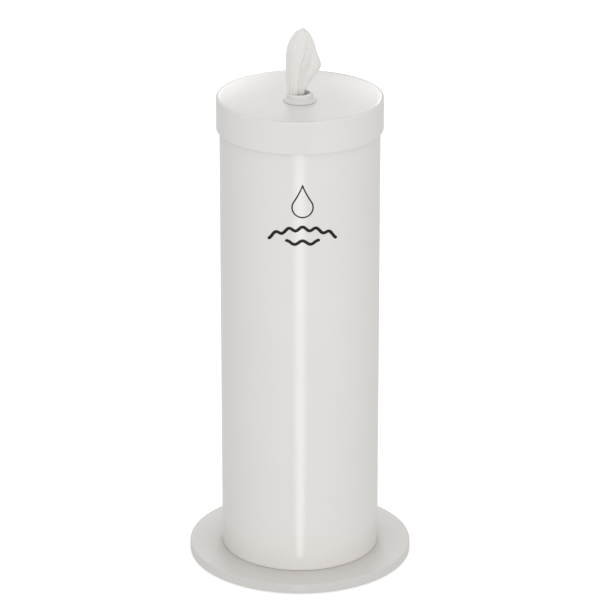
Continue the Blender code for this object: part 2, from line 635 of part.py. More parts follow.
def make_nozzle(parent):
    gasket_low = LID_LAND + TOUCH
    gasket_high = gasket_low + GASKET_THICKNESS
    gasket_outer = NOZZLE_FLANGE - GASKET_INSET
    gasket = [(LID_HOLE, gasket_low), (gasket_outer, gasket_low), (gasket_outer, gasket_high),
              (LID_HOLE, gasket_high)]
    add_piece("nozzle_gasket", turned(gasket, SMALL), "foam", parent)

    flange_low = gasket_high + TOUCH
    flange_high = flange_low + NOZZLE_BRIM_THICKNESS
    recess = DIAPHRAGM_RADIUS + TOUCH
    recess_top = NOZZLE_BOTTOM + DIAPHRAGM_RECESS
    neck = NOZZLE_THROAT + NOZZLE_NECK_WALL
    lip = NOZZLE_NECK_WALL / 2
    outline = [(NOZZLE_THREAD, NOZZLE_BOTTOM), (NOZZLE_THREAD, flange_low),
               (NOZZLE_FLANGE, flange_low), (NOZZLE_FLANGE, flange_high - NOZZLE_BRIM_EDGE),
               (NOZZLE_FLANGE - NOZZLE_BRIM_EDGE, flange_high),
               (neck + NOZZLE_NECK_FILLET, flange_high), (neck, flange_high + NOZZLE_NECK_FILLET)]
    outline += arc(neck - lip, NOZZLE_TOP - lip, lip, 0, 180, 6)
    outline += [(NOZZLE_THROAT, recess_top), (recess, recess_top), (recess, NOZZLE_BOTTOM)]
    add_piece("nozzle", turned(outline, SMALL), "nozzle", parent)

    nut_high = LID_LAND - LID_WALL - TOUCH
    nut_low = nut_high - NUT_RING_HEIGHT
    nut_bore = NOZZLE_THREAD + TOUCH
    nut_outer = NOZZLE_THREAD + NUT_RING_WIDTH
    nut = [(nut_bore, nut_low), (nut_outer, nut_low), (nut_outer, nut_high),
           (nut_bore, nut_high)]
    add_piece("nozzle_nut", turned(nut, SMALL), "nozzle", parent)

    diaphragm_high = recess_top - TOUCH
    add_piece("nozzle_diaphragm", diaphragm_mesh(diaphragm_high), "rubber", parent)


def diaphragm_mesh(high):
    """A rubber disc with a round hole and slits that spread from it."""
    low = high - DIAPHRAGM_THICKNESS
    slit_end = NOZZLE_THROAT - DIAPHRAGM_SLIT_INSET
    sides = DIAPHRAGM_SLITS * 4
    work = bmesh.new()
    loops = []
    for height in (low, high):
        outer, inner = [], []
        for side in range(sides):
            angle = math.tau * side / sides
            reach = slit_end if side % 4 == 0 else DIAPHRAGM_HOLE
            ray = Vector((math.cos(angle), math.sin(angle), 0.0))
            lift = Vector((0.0, 0.0, height))
            outer.append(work.verts.new(ray * DIAPHRAGM_RADIUS + lift))
            inner.append(work.verts.new(ray * reach + lift))
        loops += [outer, inner]
    low_outer, low_inner, high_outer, high_inner = loops
    around = [low_outer, high_outer, high_inner, low_inner, low_outer]
    for one, other in zip(around, around[1:]):
        for side in range(sides):
            after = (side + 1) % sides
            work.faces.new((one[side], one[after], other[after], other[side]))
    return mesh_from(work)


# ================================================================ wipe
def make_wipe(parent):
    """The wipe leaves the throat, widens above the nozzle and closes to a leaf-like tip."""
    root_width = NOZZLE_THROAT - WIPE_FIT
    root_thickness = WIPE_HALF_THICKNESS / 2
    off_centre = -0.002
    sections = [(WIPE_SPLIT, off_centre, root_width, root_thickness, 0.0),
                (NOZZLE_TOP, off_centre, root_width, root_thickness, 0.0)]
    # shares of the wipe's height, width and thickness, and its middle as a share of its width
    leaf = [(0.08, 0.48, 0.60, -0.14), (0.22, 0.80, 0.89, 0.00), (0.40, 1.00, 1.00, 0.14),
            (0.60, 0.89, 0.89, 0.14), (0.79, 0.63, 0.67, 0.11), (0.92, 0.34, 0.44, 0.07),
            (1.00, 0.11, 0.22, 0.05)]
    for rise, width, thickness, middle in leaf:
        sections.append((NOZZLE_TOP + rise * WIPE_HEIGHT, middle * WIPE_HALF_WIDTH,
                         width * WIPE_HALF_WIDTH, thickness * WIPE_HALF_THICKNESS, 0.0))
    add_piece("wipe_sheet", lofted(sections, SCREW_SIDES), "wipe", parent)

    high = WIPE_SPLIT - TOUCH
    low = ROLL_TOP - TAIL_IN_ROLL
    tail_width = DIAPHRAGM_HOLE - TAIL_FIT
    steps = 8
    sections = []
    for step in range(steps + 1):
        share = step / steps
        height = high + (low - high) * share
        sections.append((height, 0.0, tail_width, TAIL_HALF_THICKNESS, TAIL_TWIST * share))
    add_piece("wipe_tail", lofted(sections, SCREW_SIDES), "wipe", parent)


# ================================================================ assembly
clear_scene()
materials = make_materials()
make_base()
make_tube()
make_shelf()
make_bucket(joint_empty("bucket_lift_axis", BUCKET_BOTTOM))
make_bail(joint_empty("bail_swing_axis", BAIL_AXIS))
lid_axis = joint_empty("lid_lift_axis", LID_LAND)
make_lid(lid_axis)
make_nozzle(lid_axis)
make_wipe(joint_empty("wipe_pull_axis", WIPE_SPLIT))
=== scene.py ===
"""Looks of a floor-standing wipes dispenser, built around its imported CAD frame.

Metres, +Z up, the dispenser's front faces -Y. The fine shells, the soft wipe, the roll and
the printed sign are made here. Fasteners, brackets, rings, the shelf, the bucket and what the
foot hides keep their CAD shape.
"""
import json
import math

import bmesh
import bpy
import numpy as np
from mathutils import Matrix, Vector


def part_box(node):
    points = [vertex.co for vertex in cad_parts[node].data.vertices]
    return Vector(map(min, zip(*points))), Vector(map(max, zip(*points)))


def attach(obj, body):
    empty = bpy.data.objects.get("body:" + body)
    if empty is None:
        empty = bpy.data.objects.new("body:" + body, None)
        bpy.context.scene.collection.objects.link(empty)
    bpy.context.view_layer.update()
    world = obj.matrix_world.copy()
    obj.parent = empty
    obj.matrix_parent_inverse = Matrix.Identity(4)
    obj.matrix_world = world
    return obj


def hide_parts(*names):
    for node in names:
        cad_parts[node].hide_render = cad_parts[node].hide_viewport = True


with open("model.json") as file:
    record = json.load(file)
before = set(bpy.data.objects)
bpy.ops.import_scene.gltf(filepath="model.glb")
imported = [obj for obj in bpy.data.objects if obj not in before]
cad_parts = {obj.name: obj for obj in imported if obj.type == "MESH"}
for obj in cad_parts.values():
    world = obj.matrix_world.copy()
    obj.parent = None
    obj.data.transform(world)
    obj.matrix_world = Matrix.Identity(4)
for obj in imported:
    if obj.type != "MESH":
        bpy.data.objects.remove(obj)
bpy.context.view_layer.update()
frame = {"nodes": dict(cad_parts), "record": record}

# ================================================================ sizes from the frame
BASE_LOW, BASE_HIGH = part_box("base_cover")
TUBE_LOW, TUBE_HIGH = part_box("body_tube")
LID_LOW, LID_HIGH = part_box("lid_shell")
NOZZLE_LOW, NOZZLE_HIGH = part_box("nozzle")
GASKET_LOW, GASKET_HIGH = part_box("nozzle_gasket")
NUT_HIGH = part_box("nozzle_nut")[1]
ROLL_LOW, ROLL_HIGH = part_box("wipes_roll")
TAIL_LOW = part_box("wipe_tail")[0]

SHEET_STEEL = 0.0012        # wall of the tube and the lid
PAN_STEEL = 0.0015          # wall of the foot's pan
SHEARED = 0.0005            # rounding of a sheared sheet edge
FOLDED = 0.0004             # rounding of a hem's free edge
ROUND = 192                 # sides of the shells that are seen


# ================================================================ mesh helpers
def link(name, mesh):
    piece = bpy.data.objects.new(name, mesh)
    bpy.context.scene.collection.objects.link(piece)
    return piece


def grid_mesh(name, points, close_u, close_v=False):
    """A skin of quads over points[v][u], closed round u and, for a ring, round v."""
    rows, cols = points.shape[:2]
    index = np.arange(rows * cols).reshape(rows, cols)
    last_u = cols if close_u else cols - 1
    last_v = rows if close_v else rows - 1
    faces = []
    for v in range(last_v):
        w = (v + 1) % rows
        for u in range(last_u):
            t = (u + 1) % cols
            faces.append((index[v, u], index[v, t], index[w, t], index[w, u]))
    mesh = bpy.data.meshes.new(name)
    mesh.from_pydata(points.reshape(-1, 3).tolist(), [], [tuple(map(int, f)) for f in faces])
    return mesh


def tidy_mesh(mesh):
    """Merges doubled points, turns the faces outwards and shades them smooth."""
    work = bmesh.new()
    work.from_mesh(mesh)
    bmesh.ops.remove_doubles(work, verts=work.verts, dist=1e-6)
    bmesh.ops.dissolve_degenerate(work, edges=work.edges, dist=1e-7)
    bmesh.ops.recalc_face_normals(work, faces=work.faces)
    if work.calc_volume(signed=True) < 0.0:
        bmesh.ops.reverse_faces(work, faces=work.faces)
    work.to_mesh(mesh)
    work.free()
    mesh.shade_smooth()


def turned(name, profile, sides=ROUND, extra=()):
    """A closed solid turned about the Z axis from a closed outline of (radius, height), with
    extra cuts at the angles given."""
    outline = np.array(profile, float)
    angles = np.sort([*np.linspace(0.0, math.tau, sides, endpoint=False), *extra])
    points = np.zeros((len(outline), len(angles), 3))
    points[:, :, 0] = outline[:, 0, None] * np.cos(angles)
    points[:, :, 1] = outline[:, 0, None] * np.sin(angles)
    points[:, :, 2] = outline[:, 1, None]
    mesh = grid_mesh(name, points, True, True)
    tidy_mesh(mesh)
    return link(name, mesh)


HALF_SIDE = 0.49            # the share of a side that one corner's rounding may use


def rounded(corners, steps=5, support=0.0005):
    """An outline through (radius, height, rounding) corners, with short flats kept beside
    each round corner so that wide faces shade flat."""
    spots = [np.array(corner[:2], float) for corner in corners]
    outline = []
    for index, corner in enumerate(corners):
        here = spots[index]
        to_before = spots[index - 1] - here
        to_after = spots[(index + 1) % len(spots)] - here
        before = to_before / max(np.linalg.norm(to_before), 1e-12)
        after = to_after / max(np.linalg.norm(to_after), 1e-12)
        fillet = corner[2]
        if fillet <= 0.0:
            outline.append(tuple(here))
            continue
        half = math.acos(max(-1.0, min(1.0, float(before @ after)))) / 2
        reach = fillet / math.tan(half)
        start = here + before * reach
        end = here + after * reach
        room_before = np.linalg.norm(to_before) * HALF_SIDE
        room_after = np.linalg.norm(to_after) * HALF_SIDE
        if reach + support < room_before:
            outline.append(tuple(here + before * (reach + support)))
        for step in range(steps + 1):
            share = step / steps
            bow = (1 - share) ** 2 * start + 2 * share * (1 - share) * here + share ** 2 * end
            outline.append(tuple(bow))
        if reach + support < room_after:
            outline.append(tuple(here + after * (reach + support)))
    return outline


# ================================================================ material helpers
NOISE_LOW, NOISE_HIGH = 0.3, 0.7    # most of a noise texture's values lie between these


class Finish:
    """A Principled material that is built up from a few procedural layers."""

    def __init__(self, name, colour, roughness, metallic=0.0, **sockets):
        self.material = bpy.data.materials.new(name)
        self.material.use_nodes = True
        self.tree = self.material.node_tree
        self.shader = self.tree.nodes["Principled BSDF"]
        self.shader.inputs["Base Color"].default_value = (*colour, 1.0)
        self.shader.inputs["Roughness"].default_value = roughness
        self.shader.inputs["Metallic"].default_value = metallic
        for socket, value in sockets.items():
            self.shader.inputs[socket.replace("_", " ")].default_value = value
        self.place = self.tree.nodes.new("ShaderNodeTexCoord").outputs["Object"]
        self.height = None

    def stretched(self, x, y, z):
        node = self.tree.nodes.new("ShaderNodeMapping")
        node.inputs["Scale"].default_value = (x, y, z)
        self.tree.links.new(self.place, node.inputs["Vector"])
        return node.outputs["Vector"]

    def noise(self, scale, detail=2.0, vector=None, roughness=0.5):
        node = self.tree.nodes.new("ShaderNodeTexNoise")
        node.inputs["Scale"].default_value = scale
        node.inputs["Detail"].default_value = detail
        node.inputs["Roughness"].default_value = roughness
        self.tree.links.new(vector or self.place, node.inputs["Vector"])
        return node.outputs["Fac"]

    def cells(self, scale, feature="F1", output="Distance"):
        node = self.tree.nodes.new("ShaderNodeTexVoronoi")
        node.feature = feature
        node.inputs["Scale"].default_value = scale
        self.tree.links.new(self.place, node.inputs["Vector"])
        return node.outputs[output]

    def spread(self, value, low, high, new_low, new_high):
        node = self.tree.nodes.new("ShaderNodeMapRange")
        node.inputs["From Min"].default_value = low
        node.inputs["From Max"].default_value = high
        node.inputs["To Min"].default_value = new_low
        node.inputs["To Max"].default_value = new_high
        self.tree.links.new(value, node.inputs["Value"])
        return node.outputs["Result"]

    def added(self, one, other):
        node = self.tree.nodes.new("ShaderNodeMath")
        self.tree.links.new(one, node.inputs[0])
        self.tree.links.new(other, node.inputs[1])
        return node.outputs["Value"]

    def colours(self, value, stops):
        node = self.tree.nodes.new("ShaderNodeValToRGB")
        ramp = node.color_ramp
        while len(ramp.elements) < len(stops):
            ramp.elements.new(0.5)
        for element, (place, colour) in zip(ramp.elements, stops):
            element.position = place
            element.color = (*colour, 1.0)
        self.tree.links.new(value, node.inputs["Fac"])
        self.tree.links.new(node.outputs["Color"], self.shader.inputs["Base Color"])

    def rough(self, value, low, high):
        spread = self.spread(value, NOISE_LOW, NOISE_HIGH, low, high)
        self.tree.links.new(spread, self.shader.inputs["Roughness"])

    def bump(self, value, strength, distance):
        node = self.tree.nodes.new("ShaderNodeBump")
        node.inputs["Strength"].default_value = strength
        node.inputs["Distance"].default_value = distance
        self.tree.links.new(value, node.inputs["Height"])
        if self.height:
            self.tree.links.new(self.height, node.inputs["Normal"])
        self.height = node.outputs["Normal"]
        self.tree.links.new(self.height, self.shader.inputs["Normal"])


ENAMEL_DARK = (0.728, 0.706, 0.684)
ENAMEL_LIGHT = (0.744, 0.722, 0.700)


def enamel(name, roughness):
    """Warm white powder coat: a faint orange peel and a hardly visible drift in tone."""
    made = Finish(name, ENAMEL_LIGHT, roughness)
    made.colours(made.noise(7.0, 3.0), [(0.30, ENAMEL_DARK), (0.70, ENAMEL_LIGHT)])
    made.rough(made.noise(45.0, 4.0), roughness - 0.02, roughness + 0.02)
    made.bump(made.noise(420.0, 2.0), strength=0.04, distance=0.00006)
    return made.material


def cast_iron():
    made = Finish("cast_iron_black", (0.05, 0.05, 0.052), 0.70, 0.5)
    made.colours(made.noise(60.0, 5.0), [(0.30, (0.035, 0.034, 0.034)), (0.72, (0.075, 0.072, 0.070))])
    made.rough(made.noise(120.0, 4.0), 0.58, 0.82)
    made.bump(made.noise(350.0, 5.0, roughness=0.65), strength=0.55, distance=0.0005)
    return made.material


def galvanised():
    """Zinc spangle: cells with their own tone, finely scratched."""
    made = Finish("galvanised_spangle", (0.55, 0.56, 0.57), 0.42, 0.92)
    tone = made.cells(70.0, output="Color")
    made.colours(tone, [(0.10, (0.46, 0.47, 0.49)), (0.90, (0.64, 0.65, 0.66))])
    made.rough(made.noise(90.0, 3.0), 0.34, 0.50)
    scratches = made.noise(900.0, 2.0, vector=made.stretched(1.0, 0.06, 1.0))
    made.bump(scratches, strength=0.12, distance=0.0001)
    return made.material


def zinc():
    made = Finish("zinc_bright", (0.66, 0.67, 0.68), 0.26, 1.0)
    made.colours(made.noise(160.0, 3.0), [(0.30, (0.60, 0.61, 0.64)), (0.72, (0.71, 0.71, 0.70))])
    made.rough(made.noise(240.0, 3.0), 0.20, 0.34)
    made.bump(made.noise(1600.0, 1.0), strength=0.10, distance=0.00005)
    return made.material


def rubber():
    made = Finish("rubber_black", (0.022, 0.022, 0.023), 0.78)
    made.colours(made.noise(80.0, 3.0), [(0.30, (0.016, 0.016, 0.017)), (0.72, (0.032, 0.031, 0.031))])
    made.rough(made.noise(130.0, 3.0), 0.70, 0.88)
    made.bump(made.noise(1200.0, 2.0), strength=0.30, distance=0.0001)
    return made.material


def foam():
    made = Finish("foam_grey", (0.12, 0.12, 0.125), 0.95)
    made.colours(made.cells(900.0), [(0.05, (0.06, 0.06, 0.065)), (0.60, (0.17, 0.17, 0.175))])
    made.rough(made.noise(300.0, 2.0), 0.88, 0.98)
    made.bump(made.cells(900.0), strength=0.60, distance=0.0004)
    return made.material


def moulded(name, dark, light, rough_low, rough_high):
    """Moulded plastic with a fine spark-eroded grain."""
    made = Finish(name, light, rough_high)
    made.colours(made.noise(14.0, 3.0), [(0.30, dark), (0.70, light)])
    made.rough(made.noise(60.0, 3.0), rough_low, rough_high)
    made.bump(made.noise(1100.0, 2.0), strength=0.12, distance=0.00008)
    return made.material


def nonwoven():
    """Soft spunlace: crossing fibres, a pressed dot pattern and a little sheen."""
    made = Finish("nonwoven_white", (0.80, 0.79, 0.77), 0.88, Sheen_Weight=0.30,
                  Sheen_Roughness=0.45, Specular_IOR_Level=0.25)
    fibre_a = made.noise(1500.0, 3.0, vector=made.stretched(1.0, 1.0, 0.14), roughness=0.6)
    fibre_b = made.noise(1500.0, 3.0, vector=made.stretched(0.16, 0.16, 1.0), roughness=0.6)
    fibres = made.added(fibre_a, fibre_b)
    cloud = made.noise(180.0, 3.0)
    made.colours(cloud, [(0.30, (0.735, 0.722, 0.700)), (0.70, (0.770, 0.757, 0.735))])
    made.rough(cloud, 0.82, 0.94)
    made.bump(fibres, strength=0.35, distance=0.00018)
    made.bump(made.cells(420.0, feature="SMOOTH_F1"), strength=0.25, distance=0.00022)
    return made.material


def ink():
    made = Finish("ink_black", (0.008, 0.008, 0.009), 0.42, Specular_IOR_Level=0.22)
    made.colours(made.noise(500.0, 2.0), [(0.30, (0.006, 0.006, 0.007)), (0.70, (0.012, 0.012, 0.013))])
    made.rough(made.noise(300.0, 2.0), 0.36, 0.50)
    return made.material


FINISHES = {
    "white_enamel": enamel("enamel_satin", 0.42),
    "cast_iron": cast_iron(),
    "galvanised_steel": galvanised(),
    "zinc_hardware": zinc(),
    "black_rubber": rubber(),
    "grey_foam": foam(),
    "nozzle_plastic": moulded("nozzle_white", (0.76, 0.75, 0.73), (0.79, 0.78, 0.76), 0.30, 0.42),
    "bucket_plastic": moulded("bucket_milky", (0.63, 0.645, 0.64), (0.68, 0.695, 0.69), 0.34, 0.48),
    "grip_plastic": moulded("grip_white", (0.76, 0.76, 0.75), (0.80, 0.80, 0.79), 0.36, 0.48),
    "nonwoven_wipe": nonwoven(),
}
TUBE_ENAMEL = enamel("enamel_gloss", 0.17)
LID_ENAMEL = enamel("enamel_semigloss", 0.20)
INK = ink()


def dress(piece, slot, finish=None):
    piece.data.materials.clear()
    piece.data.materials.append(finish or FINISHES[slot])


# ================================================================ camera
CAMERA_BACK = 5.503         # in front of the dispenser's axis
CAMERA_HEIGHT = 2.612
CAMERA_TILT = 21.58         # degrees below level
CAMERA_LENS = 221.7         # millimetres
CAMERA_SENSOR = 36.0        # millimetres


def make_camera():
    data = bpy.data.cameras.new("camera")
    data.lens = CAMERA_LENS
    data.sensor_width = CAMERA_SENSOR
    data.clip_start = 0.1
    data.clip_end = 60.0
    camera = link("camera", data)
    camera.location = (0.0, -CAMERA_BACK, CAMERA_HEIGHT)
    camera.rotation_euler = (math.radians(90.0 - CAMERA_TILT), 0.0, 0.0)
    bpy.context.scene.camera = camera


# ================================================================ studio
BODY_AIM = (0.0, 0.0, 0.45)
LID_AIM = (0.0, 0.0, 0.75)
# each light's name, where it stands, what it faces, its width, its height and its watts
LIGHTS = [
    ("softbox_low", (0.25, -3.6, 0.33), BODY_AIM, 2.6, 0.65, 10.7),
    ("softbox_high", (0.25, -3.6, 1.00), BODY_AIM, 2.6, 0.65, 27.5),
    ("softbox_over", (0.0, 0.3, 3.2), BODY_AIM, 2.0, 2.0, 9.4),
    ("panel_back_right", (0.36, 3.2, 2.65), LID_AIM, 0.50, 2.0, 7.4),
    ("panel_back_left", (-0.36, 3.2, 1.90), LID_AIM, 0.50, 1.5, 4.56),
]


def area_light(name, spot, target, width, height, watts):
    data = bpy.data.lights.new(name, "AREA")
    data.shape = "RECTANGLE"
    data.size = width
    data.size_y = height
    data.energy = watts
    lamp = link(name, data)
    lamp.location = spot
    aim = Vector(target) - Vector(spot)
    lamp.rotation_euler = aim.to_track_quat("-Z", "Y").to_euler()
    lamp.visible_camera = False
    return lamp


SKY_LOW, SKY_HIGH = 0.908, 0.95     # what lights the object: below and above the horizon
SKY_LOW_ENDS, SKY_HIGH_STARTS = -0.05, 0.10     # heights on a dome of radius 1


def make_world():
    """White where it is looked at, and a soft grey dome for lighting."""
    world = bpy.data.worlds.new("studio")
    bpy.context.scene.world = world
    world.use_nodes = True
    tree = world.node_tree
    tree.nodes.clear()
    seen = tree.nodes.new("ShaderNodeBackground")
    seen.inputs["Color"].default_value = (1.0, 1.0, 1.0, 1.0)
    dome = tree.nodes.new("ShaderNodeBackground")
    place = tree.nodes.new("ShaderNodeTexCoord")
    axes = tree.nodes.new("ShaderNodeSeparateXYZ")
    rise = tree.nodes.new("ShaderNodeMapRange")
    rise.inputs["From Min"].default_value = SKY_LOW_ENDS
    rise.inputs["From Max"].default_value = SKY_HIGH_STARTS
    rise.inputs["To Min"].default_value = SKY_LOW
    rise.inputs["To Max"].default_value = SKY_HIGH
    ray = tree.nodes.new("ShaderNodeLightPath")
    mix = tree.nodes.new("ShaderNodeMixShader")
    out = tree.nodes.new("ShaderNodeOutputWorld")
    tree.links.new(place.outputs["Generated"], axes.inputs["Vector"])
    tree.links.new(axes.outputs["Z"], rise.inputs["Value"])
    tree.links.new(rise.outputs["Result"], dome.inputs["Strength"])
    tree.links.new(ray.outputs["Is Camera Ray"], mix.inputs["Fac"])
    tree.links.new(dome.outputs["Background"], mix.inputs[1])
    tree.links.new(seen.outputs["Background"], mix.inputs[2])
    tree.links.new(mix.outputs["Shader"], out.inputs["Surface"])


STRIP_BEARING = -0.3        # degrees from straight in front
STRIP_SPREAD = 15.0         # degrees to each side of its middle line, seen from the tube
STRIP_START, STRIP_END = 0.19, 2.40     # from the dispenser's axis
STRIP_RISE = 0.004          # above the floor
STRIP_GLOW = 4.07
STRIP_PARTS = 17            # points from one side of the strip to the other


def strip_light():
    """Light that is as strong as the strip's own glow values say."""
    material = bpy.data.materials.new("strip_glow")
    material.use_nodes = True
    material.cycles.emission_sampling = "NONE"
    tree = material.node_tree
    tree.nodes.clear()
    bell = tree.nodes.new("ShaderNodeAttribute")
    bell.attribute_name = "glow"
    scale = tree.nodes.new("ShaderNodeMath")
    scale.operation = "MULTIPLY"
    scale.inputs[1].default_value = STRIP_GLOW
    light = tree.nodes.new("ShaderNodeEmission")
    out = tree.nodes.new("ShaderNodeOutputMaterial")
    tree.links.new(bell.outputs["Fac"], scale.inputs[0])
    tree.links.new(scale.outputs["Value"], light.inputs["Strength"])
    tree.links.new(light.outputs["Emission"], out.inputs["Surface"])
    return material


def make_floor_strip():
    """A tapering soft light on the floor in front of the foot. It draws the line of shine
    down the tube, brightest along its middle."""
    bearing = math.radians(STRIP_BEARING)
    half = math.tan(math.radians(STRIP_SPREAD))
    shares = np.linspace(-1.0, 1.0, STRIP_PARTS)
    points, glows = [], []
    for reach in (STRIP_START, STRIP_END):
        for share in shares:
            across = share * half * (reach - TUBE_HIGH.x)
            points.append((reach * math.sin(bearing) + across * math.cos(bearing),
                           across * math.sin(bearing) - reach * math.cos(bearing), STRIP_RISE))
            glows.append(math.cos(math.pi / 2 * share) ** 2)
    mesh = grid_mesh("floor_strip", np.array(points).reshape(2, len(shares), 3), False)
    mesh.attributes.new("glow", "FLOAT", "POINT").data.foreach_set("value", glows)
    strip = link("floor_strip", mesh)
    strip.data.materials.append(strip_light())
    strip.visible_camera = False
    strip.visible_diffuse = False
    strip.visible_shadow = False
    return strip


FLOOR_RADIUS = 60.0
FLOOR_GLOW = 0.36


def make_floor():
    """A white floor for the eye only: the dome lights the dispenser from below, through it."""
    work = bmesh.new()
    bmesh.ops.create_circle(work, cap_ends=True, segments=96, radius=FLOOR_RADIUS)
    mesh = bpy.data.meshes.new("floor")
    work.to_mesh(mesh)
    work.free()
    floor = link("floor", mesh)
    finish = Finish("floor_white", (0.90, 0.90, 0.90), 0.90, Specular_IOR_Level=0.0,
                    Emission_Strength=FLOOR_GLOW)
    finish.shader.inputs["Emission Color"].default_value = (1.0, 1.0, 1.0, 1.0)
    finish.material.cycles.emission_sampling = "NONE"
    floor.data.materials.append(finish.material)
    floor.visible_glossy = False
    floor.visible_diffuse = False
    floor.visible_shadow = False


def keep_light_off(light, piece):
    """The piece isn't lit by the light, and doesn't mirror it."""
    spared = bpy.data.collections.new(light.name + "_spares")
    spared.objects.link(piece)
    spared.collection_objects[0].light_linking.link_state = "EXCLUDE"
    light.light_linking.receiver_collection = spared


def make_studio():
    """Sets up the dome, the lights and the floor, and gives back the lights by name."""
    scene = bpy.context.scene
    scene.view_settings.view_transform = "Standard"
    scene.view_settings.look = "None"
    make_world()
    lights = {row[0]: area_light(*row) for row in LIGHTS}
    for name in ("softbox_low", "softbox_high"):
        lights[name].visible_glossy = False     # soft fill, with no mirror image in the enamel
    make_floor()
    return lights


# ================================================================ foot
PAN_EDGE = 0.0032           # rounding of the pan's rim
PAN_HOLE = 0.004            # radius at the pan's centre, hidden inside the tube


def make_foot_pan():
    radius, top, low = BASE_HIGH.x, BASE_HIGH.z, BASE_LOW.z
    inner = radius - PAN_STEEL
    under = top - PAN_STEEL
    outline = rounded([
        (PAN_HOLE, top, 0.0), (radius, top, PAN_EDGE), (radius, low, SHEARED),
        (inner, low, SHEARED), (inner, under, PAN_EDGE - PAN_STEEL), (PAN_HOLE, under, 0.0)],
        steps=7)
    pan = turned("foot_pan", outline)
    dress(pan, "white_enamel")
    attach(pan, "root")
    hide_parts("base_cover")
    return pan


# ================================================================ tube
TUBE_HEM = 0.010            # how far the tube's top edge is folded down inside
TUBE_FOLD = 0.0011          # rounding of that fold
TUBE_SAWN = 0.0003          # rounding of the tube's lower edge
SEAM_BEARING = math.radians(90.0)   # the weld is a shallow groove down the tube's back
SEAM_HALF = 0.0010          # half the width of the groove's floor
SEAM_EDGE = 0.0016          # half its width at the surface
SEAM_DEPTH = 0.0004


def make_tube_shell():
    radius, low, top = TUBE_HIGH.x, TUBE_LOW.z, TUBE_HIGH.z
    inner = radius - SHEET_STEEL
    hem_inner = inner - SHEET_STEEL
    hem_low = top - TUBE_HEM
    outline = rounded([
        (radius, low, TUBE_SAWN), (radius, top, TUBE_FOLD), (hem_inner, top, TUBE_FOLD),
        (hem_inner, hem_low, FOLDED), (inner, hem_low - SHEET_STEEL, 0.0),
        (inner, low, TUBE_SAWN)])
    cuts = (-SEAM_EDGE, -SEAM_HALF, SEAM_HALF, SEAM_EDGE)
    tube = turned("tube_shell", outline, extra=[SEAM_BEARING + cut / radius for cut in cuts])
    floor_half = SEAM_HALF * 1.01       # so that rounding doesn't drop the floor's own edges
    for vert in tube.data.vertices:
        reach = math.hypot(vert.co.x, vert.co.y)
        off = abs(math.atan2(vert.co.y, vert.co.x) - SEAM_BEARING) * radius
        if off < floor_half and reach > radius - SEAM_DEPTH:
            vert.co *= Vector((1 - SEAM_DEPTH / reach, 1 - SEAM_DEPTH / reach, 1.0))
    dress(tube, "white_enamel", TUBE_ENAMEL)
    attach(tube, "root")
    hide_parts("body_tube")


# ================================================================ lid
DISH_DEPTH = 0.008
DISH_LIP = 0.0055           # from the lid's outside in to where the dish starts
DISH_LIP_DROP = 0.0006      # from the lid's top down to there
DISH_LAND = 0.002           # flat ring kept round the nozzle's flange
DISH_STEPS = 40
LID_HOLE = 0.0221           # radius of the hole that the nozzle stands in
LID_EDGE = 0.0028           # rounding between the top and the skirt
LID_CREST = 0.0010          # rounding between the top and the dish
LID_CREST_FLAT = 0.0006
LID_HEM = 0.008             # how far the skirt's lower edge is folded up inside


def dish_height(radius):
    lip_radius = LID_HIGH.x - DISH_LIP
    land_radius = NOZZLE_HIGH.x + DISH_LAND
    share = max(0.0, (radius - land_radius) / (lip_radius - land_radius))
    return LID_HIGH.z - DISH_DEPTH + (DISH_DEPTH - DISH_LIP_DROP) * share ** 2


def make_lid_shell():
    radius, top, low = LID_HIGH.x, LID_HIGH.z, LID_LOW.z
    inner = radius - SHEET_STEEL
    hem_inner = inner - SHEET_STEEL
    hem_top = low + LID_HEM
    lip_radius = radius - DISH_LIP
    dish = [(r, dish_height(r)) for r in np.linspace(LID_HOLE, lip_radius, DISH_STEPS)]
    lip_height = dish[-1][1]
    rim = rounded([
        (lip_radius, lip_height, 0.0), (radius - LID_EDGE - LID_CREST_FLAT, top, LID_CREST),
        (radius, top, LID_EDGE), (radius, low, SHEARED), (hem_inner, low, SHEARED),
        (hem_inner, hem_top, FOLDED), (inner, hem_top + SHEET_STEEL, 0.0),
        (inner, top - SHEET_STEEL, LID_EDGE - SHEET_STEEL),
        (lip_radius, lip_height - SHEET_STEEL, 0.0)], steps=7)
    under = [(r, z - SHEET_STEEL) for r, z in reversed(dish)]
    lid = turned("lid_dished", dish[:-1] + rim + under[1:])
    dress(lid, "white_enamel", LID_ENAMEL)
    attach(lid, "lid")
    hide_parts("lid_shell")
    return lid


# ================================================================ nozzle
NOZZLE_THROAT = 0.0155      # radii
NOZZLE_NECK = 0.0205
NOZZLE_RECESS = 0.0178      # the diaphragm's seat, below the throat
RECESS_HIGH = 0.0040        # how far the recess goes up
RECESS_CHAMFER = 0.0004     # at its lower edge
RECESS_OPEN = 6             # the outline's last points, which the chamfer stands in for
FLANGE_THICK = 0.0020
FLANGE_LAP = 0.0003         # how far the flange stands above the gasket and over its edge
THREAD_RADIUS = 0.0215
THREAD_PITCH = 0.0020
THREAD_START = 0.0030       # from the nozzle's lower end
THREAD_DEEP = 0.0007        # from THREAD_RADIUS in to the thread's root
THREAD_SHARP = 0.0001       # from THREAD_RADIUS in to its crest
NOZZLE_ROUND = 128          # sides of the nozzle


def thread_side(low, high):
    """The outline of the ridges from low up to high."""
    root, crest = THREAD_RADIUS - THREAD_DEEP, THREAD_RADIUS - THREAD_SHARP
    side = []
    ridge = low
    while ridge + THREAD_PITCH < high:
        side += [(root, ridge), (crest, ridge + THREAD_PITCH * 0.35),
                 (crest, ridge + THREAD_PITCH * 0.5), (root, ridge + THREAD_PITCH * 0.85)]
        ridge += THREAD_PITCH
    return side


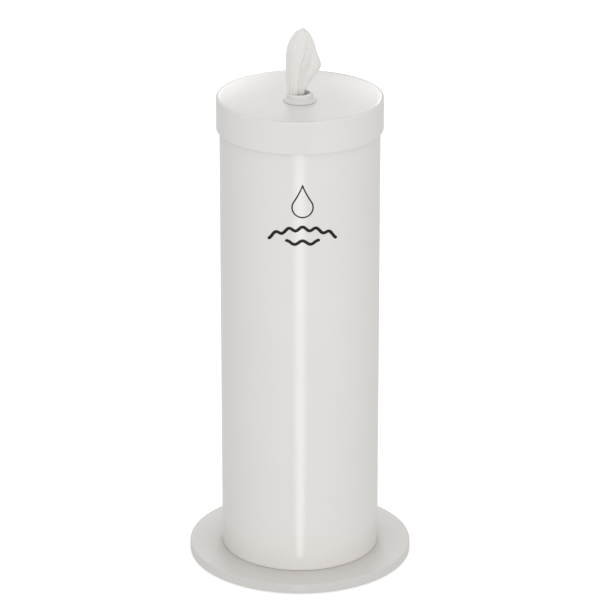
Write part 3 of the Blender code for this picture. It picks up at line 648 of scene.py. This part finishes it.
def make_nozzle_body():
    """The moulded nozzle: a rounded neck on a thin flange, with a thread under the lid."""
    top, low, flange = NOZZLE_HIGH.z, NOZZLE_LOW.z, NOZZLE_HIGH.x
    flange_low = GASKET_HIGH.z + FLANGE_LAP
    flange_high = flange_low + FLANGE_THICK
    recess_top = low + RECESS_HIGH
    root = THREAD_RADIUS - THREAD_DEEP
    upper = rounded([
        (THREAD_RADIUS - 0.0004, GASKET_LOW.z - 0.0008, 0.0),
        (THREAD_RADIUS - 0.0002, flange_low, 0.0002),
        (GASKET_HIGH.x + 0.0002, flange_low, 0.0001),
        (GASKET_HIGH.x + FLANGE_LAP, GASKET_LOW.z, 0.0001),
        (flange, GASKET_LOW.z, 0.0003), (flange - 0.0012, flange_high, 0.0018),
        (NOZZLE_NECK + 0.0006, flange_high, 0.0028), (NOZZLE_NECK - 0.0002, top, 0.0024),
        (NOZZLE_THROAT, top, 0.0024), (NOZZLE_THROAT, recess_top, 0.0003),
        (NOZZLE_RECESS, recess_top, 0.0002), (NOZZLE_RECESS, low, 0.0003)],
        steps=7, support=0.0002)[:-RECESS_OPEN]
    upper.append((NOZZLE_RECESS, low + RECESS_CHAMFER))
    lower = [(NOZZLE_RECESS + RECESS_CHAMFER, low), (root, low),
             (root, low + THREAD_START - 0.0002)]
    threads = thread_side(low + THREAD_START, NUT_HIGH.z + 0.0010)
    body = turned("nozzle_moulded", lower + threads + upper, NOZZLE_ROUND)
    dress(body, "nozzle_plastic")
    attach(body, "lid")
    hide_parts("nozzle")


# ================================================================ the soft wipe
STRIP_THICKNESS = 0.00045
WIPE_ROOT = 0.014           # how far down the neck the open wipe starts
WIPE_ACROSS, WIPE_UP, WIPE_DOWN = 240, 110, 70      # points across it, up it and down its tail
TAIL_WIDE, TAIL_DEEP = 0.0042, 0.0026       # half sizes of the rolled-up tail
TAIL_TWIST = 2.6            # radians from the neck to the roll
TAIL_START = math.radians(110.0)    # where round the tail the strip's edge lies
TAIL_WRAP = 0.97            # how much of a turn the strip makes round the tail
TAIL_SETTLE = 0.125         # the share of the tail's length in which it closes up

# Depths of the wrinkles at heights above the lip: tight pleats at and below the nozzle, soft
# folds above it, and fine creases.
PLEATS = [(-0.060, 0.0021), (-0.010, 0.0018), (0.004, 0.0008), (0.016, 0.0004),
          (0.040, 0.0002), (0.106, 0.0001)]
FOLDS = [(0.0, 0.0003), (0.020, 0.0007), (0.050, 0.0006), (0.106, 0.0003)]
CREASES = [(0.0, 0.00012), (0.030, 0.00012), (0.106, 0.00008)]

# Ten threads run up the wipe: from the inner free edge at the back, round the left fold, over
# the front panel, into the valley, over the right lobe and its fold, to the outer free edge at
# the back. Each is given at seven heights, in millimetres from the middle of the nozzle's lip.
WIPE_THREADS = [
    [(-2, -2, -14), (-4, -2, 3), (-2, 1, 20), (0, 4, 45), (4, 5, 70), (4, 3.5, 90), (4, 1.5, 103)],
    [(-7, -2, -14), (-12, -2, 3), (-14, 1, 20), (-15, 4.5, 45), (-12, 5, 70), (-8, 4, 86),
     (-2, 1.5, 101)],
    [(-10.5, -4, -14), (-18.5, -7, 3), (-20.5, -4, 20), (-21.5, -2, 45), (-20, -1, 70),
     (-15.5, -1, 85), (-6.5, -0.5, 99)],
    [(-7.5, -7, -14), (-14, -12.5, 3), (-15, -11, 20), (-14, -10, 45), (-12, -8.5, 70),
     (-8, -6, 88), (-1.5, -2.5, 102.5)],
    [(-3, -8, -14), (-7, -15, 3), (-5.5, -14, 20), (-2, -12.5, 45), (3, -10, 70),
     (4, -7, 91), (4, -2.5, 106)],
    [(0, -6, -14), (-1, -13, 3), (1, -10, 20), (7, -5.5, 45), (16, -5, 71), (14, -5, 89),
     (8.5, -2.5, 103.5)],
    [(2.5, -7, -14), (3, -12.5, 3), (9, -13, 20), (19, -13, 45), (21, -7, 68), (18, -4, 86),
     (12.5, -1.5, 100)],
    [(5, -4, -14), (6, -8, 3), (16, -6, 20), (32.5, -3, 43), (26.5, -1.5, 66), (21.5, -0.5, 83),
     (15.5, 0.5, 96)],
    [(2.5, -1.5, -14), (2, -3, 3), (10, 2, 20), (18, 6, 45), (15, 6, 70), (12, 4, 86), (10.5, 1.5, 100)],
    [(-2, -0.5, -14), (-6, -0.5, 3), (-4, 4, 20), (0, 7.5, 45), (2, 8, 70), (2, 5.5, 90),
     (4, 2.5, 104)],
]


def catmull(points, places):
    """Points on a smooth curve through a list of points, at places from 0 to 1."""
    points = np.asarray(points, float)
    ends = np.vstack([2 * points[:1] - points[1:2], points, 2 * points[-1:] - points[-2:-1]])
    spans = len(points) - 1
    place = np.clip(np.asarray(places) * spans, 0, spans - 1e-9)
    start = place.astype(int)
    t = (place - start)[:, None]
    a, b, c, d = (ends[start + k] for k in range(4))
    return 0.5 * (2 * b + (c - a) * t + (2 * a - 5 * b + 4 * c - d) * t ** 2
                  + (3 * b - a - 3 * c + d) * t ** 3)


def wipe_tail(tail_top, side):
    """Rows of points from the roll up to the open wipe: the strip rolled up and twisted."""
    length = NOZZLE_HIGH.z - WIPE_ROOT - TAIL_LOW.z
    angle = TAIL_START + math.tau * side * TAIL_WRAP
    x0, y0 = TAIL_WIDE * np.cos(angle), TAIL_DEEP * np.sin(angle)
    rows = []
    for step in range(WIPE_DOWN, 0, -1):
        share = step / WIPE_DOWN
        settle = min(1.0, share / TAIL_SETTLE)
        settle = settle * settle * (3 - 2 * settle)
        turn = TAIL_TWIST * share
        x = x0 * math.cos(turn) - y0 * math.sin(turn)
        y = x0 * math.sin(turn) + y0 * math.cos(turn)
        z = np.full(len(side), tail_top[0, 2] - share * length)
        start = tail_top.copy()
        start[:, 2] = z
        rows.append(start * (1 - settle) + np.stack([x, y, z], 1) * settle)
    return np.array(rows)


def wrinkles(rises, side):
    """How far each point moves out of the smooth strip, for its row's height and its place
    across the strip."""
    pleats = np.sin(math.tau * (13.0 * side + 0.12 * np.sin(math.tau * 2.0 * side)))
    folds = (np.sin(math.tau * (5.0 * side + 0.21)) + 0.6 * np.sin(math.tau * (8.0 * side + 0.6))
             + 0.35 * np.sin(math.tau * (11.0 * side + 0.1)))
    creases = np.sin(math.tau * (21.0 * side + 0.4 * np.sin(math.tau * 3.0 * side)))
    wave = np.zeros((len(rises), len(side)))
    for table, pattern in ((PLEATS, pleats), (FOLDS, folds), (CREASES, creases)):
        wave += np.interp(rises, *zip(*table))[:, None] * pattern
    return wave


def make_wipe():
    along = np.linspace(0.0, 1.0, WIPE_UP)
    side = np.linspace(0.0, 1.0, WIPE_ACROSS)
    threads = np.array([catmull(thread, along) for thread in WIPE_THREADS]) * 0.001
    upper = np.array([catmull(threads[:, v], side) for v in range(WIPE_UP)])
    points = np.vstack([wipe_tail(upper[0], side), upper])

    flow = np.gradient(points, axis=1)
    flow[..., 2] = 0.0
    flow /= np.maximum(np.linalg.norm(flow, axis=2, keepdims=True), 1e-9)
    outward = np.stack([flow[..., 1], -flow[..., 0], np.zeros(flow.shape[:2])], 2)
    points += outward * wrinkles(points[:, :, 2].mean(1), side)[..., None]
    points += (0.0, 0.0, NOZZLE_HIGH.z)

    mesh = grid_mesh("wipe_strip", points, False)
    mesh.shade_smooth()
    wipe = link("wipe_strip", mesh)
    thick = wipe.modifiers.new("thickness", "SOLIDIFY")
    thick.thickness = STRIP_THICKNESS
    thick.offset = 0.0
    dress(wipe, "nonwoven_wipe")
    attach(wipe, "wipe")
    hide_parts("wipe_sheet", "wipe_tail")


# ================================================================ printed sign
SIGN_MIDDLE = 0.628         # height of the sign's middle on the tube
SIGN_SHIFT = 0.004          # to the right
SIGN_CUT = 0.003            # how finely the ink is cut before it is wrapped
SIGN_REACH = 0.060          # how far the cuts go to each side
INK_PROUD = 0.00015
DROP_RADIUS = 0.0175
DROP_TALL = 0.056
DROP_LINE = 0.0022          # thickness of the drop's outline
DROP_RAISE = 0.0115         # from the sign's middle up to the middle of the drop's round part
DROP_BOW = 0.0010           # how far the drop's sides are drawn in
WAVE_LIFT = 0.0030
WAVE_LINE = 0.0050          # thickness of a wavy line
# each wavy line's width, its crests, how far its ends sag and its drop below the sign's middle
WAVES = [(0.107, 5, 0.0155, 0.0235), (0.050, 2, 0.0, 0.0465)]


def drop_shape(count=56):
    """The outline of a water drop: a round bottom whose sides run up to a point."""
    top = DROP_TALL - DROP_RADIUS
    touch = math.acos(DROP_RADIUS / top)
    points = [(DROP_RADIUS * math.cos(angle), DROP_RADIUS * math.sin(angle))
              for angle in np.linspace(math.pi / 2 - touch, -math.pi * 1.5 + touch, count)]
    left, right = points[-1], points[0]
    sides = [(left, share, DROP_BOW) for share in np.linspace(0.1, 1.0, 10)]
    sides += [(right, share, -DROP_BOW) for share in np.linspace(0.9, 0.1, 9)]
    for foot, share, pull in sides:
        points.append((foot[0] * (1 - share) + pull * math.sin(math.pi * share),
                       foot[1] * (1 - share) + top * share))
    outer = np.array(points) + (0.0, DROP_RAISE)
    along = np.roll(outer, -1, axis=0) - np.roll(outer, 1, axis=0)
    along /= np.linalg.norm(along, axis=1, keepdims=True)
    inner = outer + DROP_LINE * np.stack([along[:, 1], -along[:, 0]], 1)
    size = len(outer)
    faces = [(k, (k + 1) % size, size + (k + 1) % size, size + k) for k in range(size)]
    return [tuple(point) for point in np.vstack([outer, inner])], faces


def wave_shape(width, crests, sag, drop, count=120):
    """A wavy line of even thickness whose ends hang lower than its middle: quads along it, and
    half a disc at each end."""
    xs = np.linspace(-width / 2, width / 2, count)
    wave = WAVE_LIFT * np.cos(math.tau * crests * xs / width)
    middle = np.stack([xs, wave - sag * (2 * xs / width) ** 2 - drop], 1)
    along = np.gradient(middle, axis=0)
    along /= np.linalg.norm(along, axis=1, keepdims=True)
    side = np.stack([-along[:, 1], along[:, 0]], 1) * WAVE_LINE / 2
    points = [tuple(point) for point in np.vstack([middle + side, middle - side])]
    faces = [(k, k + 1, count + k + 1, count + k) for k in range(count - 1)]
    for tip, away, first, last in ((middle[-1], side[-1], count - 1, 2 * count - 1),
                                   (middle[0], -side[0], count, 0)):
        bend = math.atan2(away[1], away[0]) - np.radians(np.arange(15, 180, 15))
        faces.append((first, *range(len(points), len(points) + len(bend)), last))
        points += [(tip[0] + WAVE_LINE / 2 * math.cos(a), tip[1] + WAVE_LINE / 2 * math.sin(a))
                   for a in bend]
    return points, faces


def printed(name, shapes):
    """Ink laid round the tube's front: each flat shape is cut fine and wrapped."""
    work = bmesh.new()
    radius = TUBE_HIGH.x + INK_PROUD
    for points, faces in shapes:
        verts = [work.verts.new((x, 0.0, z)) for x, z in points]
        for face in faces:
            work.faces.new([verts[k] for k in face])
    bmesh.ops.triangulate(work, faces=[face for face in work.faces if len(face.verts) > 4])
    for x in np.arange(-SIGN_REACH, SIGN_REACH, SIGN_CUT):
        bmesh.ops.bisect_plane(work, geom=work.verts[:] + work.edges[:] + work.faces[:],
                               plane_co=(x, 0, 0), plane_no=(1, 0, 0), dist=1e-7)
    for vert in work.verts:
        angle = (vert.co.x + SIGN_SHIFT) / radius
        vert.co = Vector((radius * math.sin(angle), -radius * math.cos(angle),
                          SIGN_MIDDLE + vert.co.z))
    bmesh.ops.recalc_face_normals(work, faces=work.faces)
    mesh = bpy.data.meshes.new(name)
    work.to_mesh(mesh)
    work.free()
    sign = link(name, mesh)
    thick = sign.modifiers.new("thickness", "SOLIDIFY")
    thick.thickness = INK_PROUD * 0.8
    thick.offset = 0.0
    dress(sign, "white_enamel", INK)
    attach(sign, "root")


def make_sign():
    printed("sign_drop", [drop_shape()])
    printed("sign_waves", [wave_shape(*wave) for wave in WAVES])


# ================================================================ roll of wipes
ROLL_CORE = 0.030           # radius of the coreless roll's hole
ROLL_LAYERS = 46            # windings that show on top
ROLL_UNEVEN = 0.0012        # how far windings stand above or below each other
ROLL_DROOP = 0.0016         # how far the outermost winding hangs
ROLL_SWELL = 0.0006         # how far the roll is from round
ROLL_ROUND = 160            # sides of the roll


def make_roll():
    """The wound roll: a winding is a small ridge on top, a little higher or lower than the next."""
    radius, low, top = ROLL_HIGH.x, ROLL_LOW.z, ROLL_HIGH.z
    rng = np.random.default_rng(11)
    pitch = (radius - ROLL_CORE) / ROLL_LAYERS
    outline = [(radius, low + 0.002), (radius, low + 0.02)]
    outline += [(radius, z) for z in np.linspace(low + 0.03, top - 0.006, 14)]
    for layer in range(ROLL_LAYERS):
        outer = radius - layer * pitch
        height = top - 0.0004 - ROLL_UNEVEN * rng.random()
        droop = ROLL_DROOP if layer == 0 else 0.0
        outline += [(outer - pitch * 0.10, height - droop),
                    (outer - pitch * 0.55, height - droop * 0.4),
                    (outer - pitch * 0.92, height - 0.0010)]
    outline += [(ROLL_CORE + 0.0002, top - 0.004), (ROLL_CORE, low + 0.001),
                (ROLL_CORE + 0.001, low), (radius - 0.002, low)]
    roll = turned("roll_wound", outline, ROLL_ROUND)
    for vert in roll.data.vertices:
        reach = math.hypot(vert.co.x, vert.co.y)
        outwards = min(max((reach - ROLL_CORE) / (radius - ROLL_CORE), 0.0), 1.0)
        swell = ROLL_SWELL * math.sin(3 * math.atan2(vert.co.y, vert.co.x) + 0.7) * outwards
        scale = (reach - ROLL_SWELL + swell * 0.9) / reach
        vert.co *= Vector((scale, scale, 1.0))
    dress(roll, "nonwoven_wipe")
    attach(roll, "bucket")
    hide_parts("wipes_roll")


# ================================================================ put together
make_camera()
lights = make_studio()
for row in frame["record"]["subparts"]:     # every CAD piece, also those with a finer stand-in
    dress(frame["nodes"][row["node"]], row["material_slot"])
keep_light_off(lights["softbox_high"], make_foot_pan())
make_tube_shell()
keep_light_off(make_floor_strip(), make_lid_shell())
make_nozzle_body()
make_wipe()
make_roll()
make_sign()
